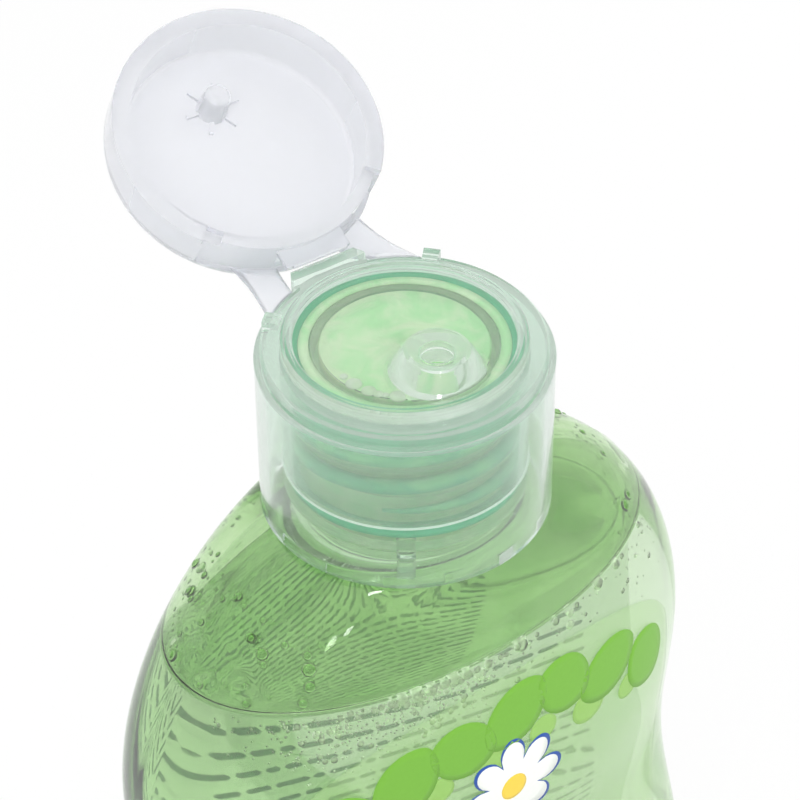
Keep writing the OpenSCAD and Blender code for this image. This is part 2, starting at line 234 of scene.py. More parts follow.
def lathe(profile, count=RING_POINTS):
    """A closed solid of revolution about Z from a closed profile of (r, z)."""
    points, faces, m = [], [], len(profile)
    for r, z in profile:
        points += circle(r, z, count)
    for k in range(m):
        for i in range(count):
            j = (i + 1) % count
            faces.append((k * count + i, k * count + j, (k + 1) % m * count + j, (k + 1) % m * count + i))
    return points, faces


# ---------------------------------------------------------------- materials
def blown_pet():
    """Blown PET: clear and glossy, IOR 1.57, with the faint waves that blowing leaves in a wall."""
    made, tree = new_material("blown_clear_pet")
    place = add(tree, "ShaderNodeTexCoord")
    waves = add(tree, "ShaderNodeTexNoise", {"Vector": place.outputs["Object"], "Scale": 1 / (22 * MM),
                                             "Detail": 1.0, "Roughness": 0.4})
    bump = add(tree, "ShaderNodeBump", {"Height": waves.outputs[0], "Strength": 0.2, "Distance": 0.3 * MM})
    surface = add(tree, "ShaderNodeBsdfPrincipled", {
        "Base Color": srgb("#F2F9F0"), "Roughness": 0.02, "IOR": 1.57, "Transmission Weight": 1.0,
        "Normal": bump.outputs[0]})
    finish_material(tree, surface)
    return made


def green_gel():
    """Clear green shampoo gel: watery gloss, IOR 1.38, coloured only by the depth that light goes through."""
    made, tree = new_material("clear_green_gel")
    surface = add(tree, "ShaderNodeBsdfPrincipled", {
        "Base Color": srgb("#FFFFFF"), "Roughness": 0.0, "IOR": 1.38, "Transmission Weight": 1.0})
    depth = add(tree, "ShaderNodeVolumeAbsorption", {"Color": srgb("#B5E17F"), "Density": 9.5})
    finish_material(tree, surface, depth)
    return made


def gel_coat(name, code, deep, ripple, clear=1.0):
    """Gel in a layer thin enough that a tint stands for its depth: it lies in soft runs, streaked from one tint
    to the other. The less clear it is, the more of it is plain matt colour: cloudy gel in the neck, and painted
    light and shade where it is teal over the lip or pale bubble discs."""
    made, tree = new_material(name)
    place = add(tree, "ShaderNodeTexCoord")
    runs = add(tree, "ShaderNodeTexNoise", {"Vector": place.outputs["Object"], "Scale": 1 / (5 * MM),
                                            "Detail": 3.0, "Roughness": 0.55, "Distortion": 0.6})
    bump = add(tree, "ShaderNodeBump", {"Height": runs.outputs[0], "Strength": ripple, "Distance": 0.6 * MM})
    streak = add(tree, "ShaderNodeMapRange", {"Value": runs.outputs[0], "From Min": 0.42, "From Max": 0.6})
    tint = add(tree, "ShaderNodeMix", {"Factor": streak.outputs[0], "A": srgb(code), "B": srgb(deep)},
               data_type="RGBA")
    surface = add(tree, "ShaderNodeBsdfPrincipled", {
        "Base Color": tint.outputs[2], "Roughness": 0.0, "IOR": 1.38, "Transmission Weight": clear,
        "Normal": bump.outputs[0]})
    finish_material(tree, surface)
    return made


def milky_pp(name, skin, haze, crystal, grain, clear=1.0):
    """Natural polypropylene, injection moulded: glossy skin, and crystals inside that scatter light, so thick
    parts look white and thin walls let shapes through softly. The less clear its skin, the whiter it is."""
    made, tree = new_material(name)
    place = add(tree, "ShaderNodeTexCoord")
    flow = add(tree, "ShaderNodeTexNoise", {"Vector": place.outputs["Object"], "Scale": 1 / (1.4 * MM),
                                            "Detail": 2.0, "Roughness": 0.5})
    bump = add(tree, "ShaderNodeBump", {"Height": flow.outputs[0], "Strength": grain, "Distance": 0.05 * MM})
    surface = add(tree, "ShaderNodeBsdfPrincipled", {
        "Base Color": srgb(skin), "Roughness": 0.05, "IOR": 1.49, "Transmission Weight": clear,
        "Normal": bump.outputs[0]})
    crystals = add(tree, "ShaderNodeVolumeScatter", {"Color": srgb(crystal), "Density": haze})
    finish_material(tree, surface, crystals)
    return made


def clear_film():
    """Label film: clear biaxial polypropylene, thin and glossy, a trace of haze."""
    made, tree = new_material("clear_label_film")
    surface = add(tree, "ShaderNodeBsdfPrincipled", {
        "Base Color": srgb("#B4D898"), "Roughness": 0.12, "IOR": 1.49, "Alpha": 0.2})
    finish_material(tree, surface)
    return made


def ink(name, code, cover):
    """Flexographic ink on film: flat colour, and a little light comes through its dots."""
    made, tree = new_material(name)
    place = add(tree, "ShaderNodeTexCoord")
    dots = add(tree, "ShaderNodeTexNoise", {"Vector": place.outputs["Object"], "Scale": 1 / (0.5 * MM),
                                            "Detail": 2.0})
    tone = add(tree, "ShaderNodeHueSaturation", {
        "Color": srgb(code), "Value": add(tree, "ShaderNodeMapRange", {
            "Value": dots.outputs[0], "To Min": 0.96, "To Max": 1.04}).outputs[0]})
    surface = add(tree, "ShaderNodeBsdfPrincipled", {
        "Base Color": tone.outputs[0], "Roughness": 0.4, "IOR": 1.4, "Alpha": cover})
    finish_material(tree, surface)
    return made


def air_bubble_painted_white():
    """Air in the gel: a bubble bends light the other way, so its IOR is that of air over that of gel. A share of
    it is plain matt white, a painted highlight that stands for the light its skin throws back."""
    made, tree = new_material("air_in_gel_painted_white")
    surface = add(tree, "ShaderNodeBsdfPrincipled", {
        "Base Color": srgb("#F8FFF0"), "Roughness": 0.0, "IOR": 1 / 1.38, "Transmission Weight": 0.62})
    finish_material(tree, surface)
    return made


PET, GEL, FILM = blown_pet(), green_gel(), clear_film()
LID_PP = milky_pp("natural_polypropylene", "#F3F4F8", 160.0, "#F6F7F9", 0.03, 0.7)
CAP_PP = milky_pp("natural_polypropylene_over_gel", "#F1FDF5", 200.0, "#FCFFFD", 0.03)
RIM_PAINTED_HIGHLIGHT = ink("rim_white_painted_highlight", "#FDFFFD", 1.0)  # plain matt white ring: a painted highlight along the sleeve's rim, brighter than its milky plastic
WET_COAT = gel_coat("gel_coat_on_wall", "#E6F5DA", "#DDF0CF", 0.03)
# the gel in the neck is pale and nearly matt: partly cloudy gel, partly painted light from the bright room round
# the neck
NECK_GEL_PARTLY_PAINTED_LIGHT = gel_coat("gel_in_neck_partly_painted_light", "#F4FFDC", "#C6F7BA", 1.0, 0.08)
# bubbles pressed flat under the deck, drawn as nearly matt pale discs: their pale colour is a painted highlight
# for the light they catch
DECK_AIR_PAINTED_PALE = gel_coat("air_under_deck_painted_pale", "#FBFFF4", "#F0FCE4", 0.0, 0.2)
# the deep teal over the neck's lip and over its bead is painted shade: it stands for light carried along the PET
# neck wall and seen through the deck
LIP_GEL_PAINTED_SHADE = gel_coat("gel_over_lip_painted_shade", "#0DBB82", "#22C792", 0.1, 0.15)
# the teal in the thread is painted shade, streaked with paler gel
THREAD_GEL_PAINTED_SHADE = gel_coat("gel_in_thread_painted_shade", "#3BCB98", "#96E8A6", 0.2, 0.25)
AIR_PAINTED_WHITE = air_bubble_painted_white()
LEAF_INK = ink("leaf_green_ink", "#7DBC42", 0.9)
PALE_INK = ink("pale_green_ink", "#A9D873", 0.6)
LINE_INK = ink("fine_line_ink", "#4F9C66", 0.4)
WHITE_INK = ink("white_ink", "#F4F8F2", 0.97)
BLUE_INK = ink("blue_ink", "#2E57A8", 1.0)
YELLOW_INK = ink("yellow_ink", "#F3D24A", 1.0)


# ---------------------------------------------------------------- bottle and shampoo
def neck_profile():
    """Outline of the neck from the shoulder's outside, over the lip, down the bore; (r, z) in mm."""
    z = BODY_H
    out = [(ROOT_R - 0.5, z + 0.35), (NECK_R + 0.4, z + 0.9), (NECK_R, z + 1.6), (NECK_R, z + BEAD_Z - 0.3),
           (NECK_R + 0.3, z + BEAD_Z), (BEAD_R - 0.5, z + BEAD_Z), (BEAD_R - 0.15, z + BEAD_Z + 0.15),
           (BEAD_R, z + BEAD_Z + 0.5), (BEAD_R, z + BEAD_Z + BEAD_H / 2),
           (BEAD_R - 0.15, z + BEAD_Z + BEAD_H / 2 + 0.2), (NECK_R + 0.25, z + BEAD_Z + BEAD_H - 0.1),
           (NECK_R, z + BEAD_Z + BEAD_H + 0.2)]
    out += [(NECK_R, z + h) for h in (8, 12, 16, 20)]
    for i in range(7):
        t = math.pi / 2 * i / 6
        out.append((NECK_R - 0.45 + 0.45 * math.cos(t), z + NECK_H - 0.45 + 0.45 * math.sin(t)))
    out += [(NECK_BORE_R + 0.2, z + NECK_H), (NECK_BORE_R, z + NECK_H - 0.2)]
    out += [(NECK_BORE_R, z + h) for h in (18, 12, 6, 2)]
    return out


def make_bottle():
    outside = form(0, ROOT_R, SHOULDER_TOP)
    inside = form(WALL, NECK_BORE_R, SHOULDER_TOP - WALL)
    for ring in outside[14:]:
        for i, sign in ((0, 1), (len(ring) // 2, -1)):
            x, y, z = ring[i]
            ring[i] = (x + sign * SEAM, y, z + SEAM / 3)
    rings = outside + [circle(r, z) for r, z in neck_profile()] + inside[::-1]
    points, faces = skin(rings)
    piece = mesh_piece("bottle_shell", points, faces, PET)
    mend_normals(piece)
    return piece


def make_lugs():
    """Two small stop lugs under the bead, wedges that end the cap's turn."""
    points, faces = [], []
    low, high, root = ROOT_Z + 0.2, BEAD_Z + BEAD_H / 4, NECK_R - 0.4
    for turn in (LUG_TURN, LUG_TURN + 180):
        t = math.radians(turn)
        out, along = Vector((-math.sin(t), -math.cos(t), 0)), Vector((math.cos(t), -math.sin(t), 0))
        start = len(points)
        for z, reach, half in ((low, LUG_R, LUG_W / 2), (high - 0.3, LUG_R, LUG_W / 2),
                               (high, LUG_R - 0.3, LUG_W / 2 - 0.25)):
            for r, w in ((root, -half), (reach - 0.25, -half), (reach, -half + 0.25),
                         (reach, half - 0.25), (reach - 0.25, half), (root, half)):
                points.append(out * r + along * w + Vector((0, 0, BODY_H + z)))
        for k in range(2):
            for i in range(6):
                j = (i + 1) % 6
                faces.append((start + k * 6 + i, start + k * 6 + j, start + k * 6 + 6 + j, start + k * 6 + 6 + i))
        faces += [tuple(start + i for i in range(6)), tuple(start + 12 + i for i in range(6))]
    piece = mesh_piece("stop_lugs", points, faces, PET, smooth=False)
    mend_normals(piece)
    return piece


def make_gel():
    """The filling, its level surface turned up where it meets the wall."""
    rings = form(WETTED, NECK_HOLE_R, GEL_LEVEL)
    top = rings[-1]
    for inner, fall in ((0.992, 0.12), (0.98, 0.4), (0.96, 0.68), (0.93, 0.86), (0.88, 0.96), (0.75, 1.0),
                        (0.5, 1.0), (0.25, 1.0), (0.05, 1.0)):
        rings.append([(x * inner, y * inner, z - fall * MENISCUS) for x, y, z in top])
    points, faces = skin(rings)
    piece = mesh_piece("gel_filling", points, faces, GEL)
    mend_normals(piece)
    return piece


def helix(section, z0, turns, steps, start):
    """A ridge wound round the neck that runs out at both ends; section is (height, reach) in mm."""
    points, faces = [], []
    for i in range(steps + 1):
        f = i / steps
        t = math.radians(start) + 2 * math.pi * turns * f
        grow = min(1.0, f * 12, (1 - f) * 12) * 0.98 + 0.02
        for h, d in section:
            r = NECK_R - 0.02 + max(d * grow, -0.4)
            points.append((r * math.cos(t), r * math.sin(t),
                           BODY_H + z0 + THREAD_PITCH * turns * f + h * (0.3 + 0.7 * grow)))
    m = len(section)
    for i in range(steps):
        for k in range(m):
            faces.append((i * m + k, i * m + (k + 1) % m, (i + 1) * m + (k + 1) % m, (i + 1) * m + k))
    faces += [tuple(range(m))[::-1], tuple(steps * m + k for k in range(m))]
    return points, faces


def make_thread():
    """One and a half turns of the neck's screw thread, a rounded ridge."""
    section = ((-1.0, 0.0), (-0.55, 0.55), (-0.25, 0.78), (0.25, 0.78), (0.55, 0.55), (1.0, 0.0), (0.0, -0.4))
    piece = mesh_piece("neck_thread", *helix(section, 11.2, 1.6, 150, 200), PET)
    mend_normals(piece)
    return piece


def make_wet_coat():
    """Gel left on the inside of the shoulder, above the level: a film with thicker runs."""
    count, rows = 240, 44
    layers = []
    for inset, swell in ((WETTED, 0.0), (WALL + 0.1, 1.3)):
        layer = []
        for k in range(rows + 1):
            z = COAT_FOOT + (COAT_TOP - COAT_FOOT) * k / rows
            u = (z - CHEST_Z) / (SHOULDER_TOP - inset - CHEST_Z)
            a, b, n = shoulder(u, inset, NECK_HOLE_R)
            ends = min(1.0, 6 * k / rows + 0.05, 6 * (1 - k / rows) + 0.05)
            ring = []
            for x, y, _ in oval(a, b, n, z, count):
                lumps = max(0.0, noise.noise(Vector((x * 0.33, y * 0.33, z * 0.16))) + 0.25)
                lumps *= min(1.0, max(0.0, (abs(x) - 28) / 6, (y - 12) / 7))
                share = 1 - swell * ends * lumps / max(8.0, math.hypot(x, y))
                ring.append((x * share, y * share, z))
            layer.append(ring)
        layers.append(layer)
    rings = layers[0] + layers[1][::-1]
    points, faces = skin(rings + [rings[0]], closed=False)
    piece = mesh_piece("wet_coat", points, faces, WET_COAT)
    mend_normals(piece)
    return piece


def make_neck_gel():
    """Gel that stays in the neck inside the cap's plug, over the neck's lip, over its bead and in its thread.
    The deep teal over the lip, the bead and in the thread is painted shade; the pale, nearly matt gel in the neck
    is partly painted light.
    """
    z = BODY_H
    r, plug = NECK_BORE_R + CONTACT, NECK_BORE_R - PLUG_WALL + CONTACT
    column = [(0.01, z + 1.4), (4, z + 1.2), (8, z + 0.8), (r - 0.4, z + 0.4), (r, z + 0.6), (r, z + 6),
              (r, z + 12), (r, z + 17.0), (r - 0.1, z + 17.2), (plug + 0.1, z + 17.2), (plug, z + 17.4),
              (plug, z + DECK_UNDER - 0.4), (plug - 0.25, z + DECK_UNDER - 0.15), (0.01, z + DECK_UNDER - 0.15)]
    piece = mesh_piece("neck_gel", *lathe(column), NECK_GEL_PARTLY_PAINTED_LIGHT)
    ring = [(12.98, z + 18.5), (13.8, z + 18.5), (13.85, z + 20), (13.85, z + 22.25), (13.6, z + 22.38),
            (12.75, z + 22.38), (12.75, z + 22.24), (12.98, z + 22.2)]
    lip = mesh_piece("lip_gel_painted_shade", *lathe(ring), LIP_GEL_PAINTED_SHADE)
    flat = [(11.45, z + 22.24), (12.7, z + 22.24), (12.7, z + 22.36), (11.45, z + 22.36)]
    film = mesh_piece("gel_on_lip", *lathe(flat), NECK_GEL_PARTLY_PAINTED_LIGHT)
    low = [(12.98, z + 5.7), (14.6, z + 5.55), (14.7, z + 6.4), (14.3, z + 7.1), (12.98, z + 7.0)]
    collar = mesh_piece("collar_gel_painted_shade", *lathe(low), LIP_GEL_PAINTED_SHADE)
    points, faces = helix(((-0.95, 0.08), (0.95, 0.08), (0.85, 0.92), (-0.85, 0.92)), 8.6, 2.4, 160, 220)
    turns = mesh_piece("thread_gel_painted_shade", points, faces, THREAD_GEL_PAINTED_SHADE)
    for made in (piece, lip, film, collar, turns):
        mend_normals(made)
    return [piece, lip, film, collar, turns]


def make_sleeve_rim():
    """The rounded lower rim of the thread sleeve, a fine bright line through the skirt, plain matt white: a
    painted highlight.
    """
    ring = [(14.95 + 0.17 * math.cos(t), BODY_H + 7.27 + 0.17 * math.sin(t))
            for t in (2 * math.pi * i / 10 for i in range(10))]
    piece = mesh_piece("sleeve_rim", *lathe(ring), RIM_PAINTED_HIGHLIGHT)
    mend_normals(piece)
    return piece


def balls(name, places, material, squash=1.0):
    """Round bubbles at places of (x, y, z, radius) in mm, pressed flat by a share of their height."""
    points, faces = [], []
    for x, y, z, r in places:
        ball = bmesh.new()
        bmesh.ops.create_icosphere(ball, subdivisions=3, radius=r)
        start = len(points)
        points += [(v.co.x + x, v.co.y + y, v.co.z * squash + z) for v in ball.verts]
        faces += [tuple(start + v.index for v in f.verts) for f in ball.faces]
        ball.free()
    piece = mesh_piece(name, points, faces, material)
    mend_normals(piece)
    return piece


def make_deck_bubbles():
    """Six round bubbles caught in the gel under the deck."""
    return balls("deck_bubbles", [(x, y, BODY_H + DECK_UNDER - 0.05, r) for x, y, r in (
        (-9.3, -2.2, 1.0), (-8.7, -4.3, 0.9), (-8.2, -5.4, 0.6), (-6.6, -7.2, 1.05), (-9.4, -0.4, 0.5),
        (-7.6, -6.1, 0.45))], DECK_AIR_PAINTED_PALE, squash=0.6)


bottle = make_bottle()
gel = make_gel()
thread = make_thread()
lugs = make_lugs()
wet_coat = make_wet_coat()
neck_gel = make_neck_gel() + [make_deck_bubbles()]
sleeve_rim = make_sleeve_rim()


# ---------------------------------------------------------------- labels
def front_y(x, z, out):
    """Depth at which a film lies on the front, out beyond the wall."""
    if z > CHEST_Z:
        a, b, n = shoulder((z - CHEST_Z) / (SHOULDER_TOP - CHEST_Z))
    else:
        a, b, n = half_w(z), half_d(z), SQUARENESS
    return -(b + out) * max(0.0, 1 - (abs(x) / (a + out)) ** n) ** (1 / n)


def label_half(z):
    d = min(z - LABEL_Z0, LABEL_Z1 - z)
    return LABEL_W / 2 * math.sqrt(1 - (0.985 * max(0.0, 1 - d / LABEL_CROWN)) ** 2)


def make_film(name):
    cols, rows = 48, 96
    points, faces = [], []
    for out in (LABEL_GAP, LABEL_GAP + LABEL_T):
        for k in range(rows + 1):
            z = LABEL_Z0 + (LABEL_Z1 - LABEL_Z0) * ease(k / rows)
            for i in range(cols + 1):
                x = label_half(z) * (2 * i / cols - 1)
                points.append((x, front_y(x, z, out), z))
    n, layer = cols + 1, (cols + 1) * (rows + 1)
    for k in range(rows):
        for i in range(cols):
            a = k * n + i
            faces.append((a, a + n, a + n + 1, a + 1))
            faces.append((layer + a, layer + a + 1, layer + a + n + 1, layer + a + n))
    edge = ([i for i in range(cols)] + [k * n + cols for k in range(rows)]
            + [rows * n + i for i in range(cols, 0, -1)] + [k * n for k in range(rows, 0, -1)])
    for a, b in zip(edge, edge[1:] + edge[:1]):
        faces.append((a, b, layer + b, layer + a))
    piece = mesh_piece(name, points, faces, FILM)
    mend_normals(piece)
    return piece


def print_patch(centre, outline, level, shares=(1.0, 0.75, 0.5, 0.25)):
    """Points and faces of one flat printed shape, wrapped on the film; outline is (x, z) about its centre.
    Level -1 is the film's glued face, whose ink shows through the wall at every angle."""
    out = GLUED_FACE if level < 0 else LABEL_GAP + LABEL_T + 0.012 + 0.014 * level
    cx, cz = centre
    points, faces = [], []
    m, last = len(outline), (len(shares) - 1) * len(outline)
    for lift in (0.0, 0.01):
        for share in shares:
            for x, z in outline:
                px, pz = cx + x * share, cz + z * share
                points.append((px, front_y(px, pz, out + lift), pz))
        points.append((cx, front_y(cx, cz, out + lift), cz))
    layer = m * len(shares) + 1
    for s in range(2):
        base = s * layer
        for k in range(len(shares) - 1):
            for i in range(m):
                j = (i + 1) % m
                faces.append((base + k * m + i, base + k * m + j, base + (k + 1) * m + j, base + (k + 1) * m + i))
        for i in range(m):
            faces.append((base + last + i, base + last + (i + 1) % m, base + layer - 1))
    for i in range(m):
        j = (i + 1) % m
        faces.append((i, j, layer + j, layer + i))
    return points, faces


def turned(shape, angle):
    c, s = math.cos(angle), math.sin(angle)
    return [(x * c - z * s, x * s + z * c) for x, z in shape]


def leaf(length, width, count=28):
    """A pointed leaf: two arcs that meet at its ends."""
    shape = []
    for i in range(count):
        t = 2 * math.pi * i / count
        x = length / 2 * math.cos(t)
        shape.append((x, width / 2 * math.copysign(abs(math.sin(t)) ** 1.2, math.sin(t))))
    return shape


def disc(r, count=24, squash=1.0):
    return [(r * math.cos(2 * math.pi * i / count), r * squash * math.sin(2 * math.pi * i / count))
            for i in range(count)]


def petal_ring(petals, r0, r1, count=96):
    """A daisy's outline, star shaped about its centre."""
    shape = []
    for i in range(count):
        t = 2 * math.pi * i / count
        r = r0 + (r1 - r0) * abs(math.cos(petals * t / 2)) ** 0.6
        shape.append((r * math.cos(t), r * math.sin(t)))
    return shape


def bar(half_l, half_h, count=7):
    """A bar with round ends."""
    shape = []
    for sign in (1, -1):
        for i in range(count):
            t = -math.pi / 2 + math.pi * i / (count - 1)
            shape.append((sign * (half_l - half_h + half_h * math.cos(t)), sign * half_h * math.sin(t)))
    return shape


def ribbon(z_mid, half_h=0.7, steps=60):
    """A wavy line across the label, a little thicker in its middle."""
    upper, lower = [], []
    for i in range(steps + 1):
        x = -26 + 52 * i / steps
        z = 1.6 * math.sin(x / 4.4) - 0.004 * x * x
        h = half_h * math.sin(math.pi * (0.06 + 0.88 * i / steps))
        upper.append((x, z + h))
        lower.append((x, z - h))
    out = LABEL_GAP + LABEL_T + 0.012
    points = [(x, front_y(x, z_mid + z, out + lift), z_mid + z) for lift in (0.0, 0.01) for x, z in upper + lower]
    n, faces = steps + 1, []
    for i in range(steps):
        faces.append((i, i + 1, n + i + 1, n + i))
        faces.append((2 * n + i, 3 * n + i, 3 * n + i + 1, 2 * n + i + 1))
        faces.append((i, 2 * n + i, 2 * n + i + 1, i + 1))
        faces.append((n + i, n + i + 1, 3 * n + i + 1, 3 * n + i))
    faces += [(0, n, 3 * n, 2 * n), (n - 1, 3 * n - 1, 4 * n - 1, 2 * n - 1)]
    return points, faces


def make_print(name, patches, material):
    points, faces = [], []
    for patch_points, patch_faces in patches:
        start = len(points)
        points += patch_points
        faces += [tuple(start + i for i in face) for face in patch_faces]
    piece = mesh_piece(name, points, faces, material)
    mend_normals(piece)
    return piece


def garland(z_mid, wave, flip=1):
    """A wavy garland of leaves and pale dots across the label."""
    leaves, dots = [], []
    for k in range(7):
        x = -24.5 + 49.0 * k / 6
        z = z_mid - flip * 0.0115 * x * x + flip * wave * math.sin(x / 5.2)
        tilt = math.radians((34 if k % 2 else -30) - flip * x * 1.3)
        leaves.append(print_patch((x, z), turned(leaf(11.4 if k % 2 else 10.0, 8.3), tilt), 1))
        if k < 6:
            x += 49.0 / 12
            z = z_mid - flip * 0.0115 * x * x - flip * wave * math.sin(x / 5.2) * 0.4
            dots.append(print_patch((x, z - flip * 4.4), disc(2.3 if k % 2 else 3.1, squash=0.85), 0))
    return leaves, dots


front_film = make_film("front_film")
back_film = make_film("back_film")
upper_leaves, upper_dots = garland(127.6, 0.7)
lower_leaves, lower_dots = garland(24.0, 0.7, -1)
prints = [
    make_print("print_leaves", upper_leaves + lower_leaves, LEAF_INK),
    make_print("print_dots", upper_dots + lower_dots, PALE_INK),
    make_print("print_waves", [ribbon(z) for z in (90, 82, 74, 66, 58)], PALE_INK),
    make_print("print_daisy_outline", [print_patch((-1, 116), petal_ring(8, 4.6, 8.0), 1)], BLUE_INK),
    make_print("print_daisy", [print_patch((-1, 116), petal_ring(8, 4.1, 7.4), 2)], WHITE_INK),
    make_print("print_daisy_heart", [print_patch((-1, 116), disc(2.0), 3)], YELLOW_INK),
]


def line_block(top, rows, step, half_l):
    """Plain fine dashes in rows across the back label."""
    dice = random.Random(7)
    dashes = []
    for k in range(rows):
        x = -half_l
        while x < half_l * (0.45 if k % 9 == 8 else 1.0):
            length = dice.uniform(1.0, 3.6)
            dashes.append(print_patch((x + length / 2, top - step * k), bar(length / 2, 0.26, 3), -1, (1.0,)))
            x += length + 0.35
    return dashes


back_prints = [make_print("print_lines", line_block(128, 56, 1.8, 26), LINE_INK)]
half_turn = Matrix.Rotation(math.pi, 4, "Z")
for piece in [back_film] + back_prints:
    piece.data.transform(half_turn)


# ---------------------------------------------------------------- bubbles
def bubble_tree():
    """Scatters small spheres on a guide surface: more of them where the guide's crowd weight is high, as towards
    the level line; their sizes random, most of them small.
    """
    tree = bpy.data.node_groups.new("bubbles", "GeometryNodeTree")
    face = tree.interface
    face.new_socket("Guide", in_out="INPUT", socket_type="NodeSocketGeometry")
    for name, kind in (("Density", "NodeSocketFloat"), ("Smallest", "NodeSocketFloat"),
                       ("Largest", "NodeSocketFloat"), ("Seed", "NodeSocketInt"),
                       ("Material", "NodeSocketMaterial")):
        face.new_socket(name, in_out="INPUT", socket_type=kind)
    face.new_socket("Bubbles", in_out="OUTPUT", socket_type="NodeSocketGeometry")
    given = add(tree, "NodeGroupInput")
    weight = add(tree, "GeometryNodeInputNamedAttribute", {"Name": "crowd"}, data_type="FLOAT")
    spots = add(tree, "GeometryNodeDistributePointsOnFaces", {
        "Mesh": given.outputs["Guide"], "Distance Min": 0.00022, "Density Max": given.outputs["Density"],
        "Density Factor": weight.outputs[0], "Seed": given.outputs["Seed"]}, distribute_method="POISSON")
    size = add(tree, "FunctionNodeRandomValue", {"Seed": given.outputs["Seed"]}, data_type="FLOAT")
    few = add(tree, "ShaderNodeMath", {0: size.outputs[1], 1: 7.0}, operation="POWER")
    scale = add(tree, "ShaderNodeMapRange", {"Value": few.outputs[0], "To Min": given.outputs["Smallest"],
                                             "To Max": given.outputs["Largest"]})
    ball = add(tree, "GeometryNodeMeshIcoSphere", {"Radius": 1.0, "Subdivisions": 2})
    rows = add(tree, "GeometryNodeInstanceOnPoints", {"Points": spots.outputs[0], "Instance": ball.outputs[0],
                                                      "Scale": scale.outputs[0]})
    real = add(tree, "GeometryNodeRealizeInstances", {"Geometry": rows.outputs[0]})
    soft = add(tree, "GeometryNodeSetShadeSmooth", {"Geometry": real.outputs[0]})
    done = add(tree, "GeometryNodeSetMaterial", {"Geometry": soft.outputs[0],
                                                 "Material": given.outputs["Material"]})
    add(tree, "NodeGroupOutput", {0: done.outputs[0]})
    return tree


BUBBLES = bubble_tree()


def scatter(name, guide, values):
    """Runs the bubble tree on a guide and gives the plain mesh."""
    live = guide.modifiers.new("bubbles", "NODES")
    live.node_group = BUBBLES
    for item in BUBBLES.interface.items_tree:
        if item.in_out == "INPUT" and item.name in values:
            live[item.identifier] = values[item.name]
    guide.update_tag()
    depth = bpy.context.evaluated_depsgraph_get()
    mesh = bpy.data.meshes.new_from_object(guide.evaluated_get(depth))
    mesh.name = name
    bpy.data.objects.remove(guide)
    piece = bpy.data.objects.new(name, mesh)
    bpy.context.scene.collection.objects.link(piece)
    return piece


def crowd_guide(name, points, weights, cols, rows, material):
    """A strip of quads over rows of points, with the crowd of bubbles at each point as a weight."""
    faces = []
    for k in range(rows):
        for i in range(cols):
            a = k * (cols + 1) + i
            faces.append((a, a + 1, a + cols + 2, a + cols + 1))
    guide = mesh_piece(name, points, faces, material)
    attribute = guide.data.attributes.new("crowd", "FLOAT", "POINT")
    for item, value in zip(attribute.data, weights):
        item.value = value
    return guide


def front_guide(name, z0, z1, inset, x0, x1, crowd):
    """A strip under the front wall between two heights."""
    cols, rows = 60, 24
    points, weights = [], []
    for k in range(rows + 1):
        z = z0 + (z1 - z0) * k / rows
        for i in range(cols + 1):
            x = x0 + (x1 - x0) * i / cols
            points.append((x, front_y(x, z, -inset), z))
            weights.append(crowd(x, k / rows))
    return crowd_guide(name, points, weights, cols, rows, AIR_PAINTED_WHITE)


def shoulder_guide(name, z0, z1, t0, t1, inset, crowd):
    """A strip inside the shoulder's wall, from one turn round the oval to another."""
    cols, rows = 48, 12
    points = []
    for k in range(rows + 1):
        z = z0 + (z1 - z0) * k / rows
        a, b, n = shoulder((z - CHEST_Z) / (SHOULDER_TOP - CHEST_Z), inset)
        points += [oval_point(a, b, n, z, math.radians(t0 + (t1 - t0) * i / cols)) for i in range(cols + 1)]
    return crowd_guide(name, points, [crowd] * len(points), cols, rows, WET_COAT)


def make_line_bubbles():
    """Larger bubbles that float along the level line against the front wall."""
    return balls("line_bubbles", [
        (x, front_y(x, GEL_LEVEL, -WALL) + r + 0.2, GEL_LEVEL - 0.9 - 0.75 * r, r)
        for x, r in ((-17, 0.45), (-15.6, 0.6), (-14.1, 0.8), (-12.2, 0.95), (-10.3, 0.8), (-8.7, 0.65),
                     (-7.2, 0.9), (-5.4, 0.75), (-4.1, 0.5), (-2.4, 0.6), (-0.6, 0.4), (2.2, 0.5), (5.3, 0.35),
                     (8.6, 0.55), (12.4, 0.4), (16.9, 0.5), (20.8, 0.6), (22.3, 0.4), (27.5, 0.45))], AIR_PAINTED_WHITE)


def left_crowd(x, f):
    """Foam lies thickest low on the left and thins out along the level line."""
    near = max(0.0, math.cos((x + 15) / 11)) * (abs(x + 15) < 17)
    return f ** 1.6 * (0.12 + 0.88 * near)


fine_bubbles = scatter("fine_bubbles", front_guide(
    "guide_fine", 126, GEL_LEVEL - 0.8, 1.5, -34, 32, left_crowd),
    {"Density": 4.5e6, "Smallest": 0.14 * MM, "Largest": 0.5 * MM, "Seed": 4, "Material": AIR_PAINTED_WHITE})
large_bubbles = scatter("large_bubbles", front_guide(
    "guide_large", 133.2, GEL_LEVEL - 1.4, 2.4, -26, 30,
    lambda x, f: 0.25 + 0.75 * max(0.0, math.cos((x + 6) / 7)) * (abs(x + 6) < 11)),
    {"Density": 4.0e5, "Smallest": 0.3 * MM, "Largest": 1.2 * MM, "Seed": 11, "Material": AIR_PAINTED_WHITE})

line_bubbles = make_line_bubbles()
# drops of gel that hang inside the shoulder: piece, heights, turns round the oval, crowd, seed
drops = [scatter(name, shoulder_guide(name + "_guide", z0, z1, t0, t1, WALL + 0.25, crowd), {
    "Density": 2.4e5, "Smallest": 0.22 * MM, "Largest": 0.95 * MM, "Seed": seed, "Material": WET_COAT})
    for name, z0, z1, t0, t1, crowd, seed in (("left_drops", 138, 147.2, 140, 222, 1.0, 3),
                                              ("right_drops", 138, 146.5, -50, 40, 0.5, 5),
                                              ("back_drops", 138, 147, 40, 140, 0.3, 8))]


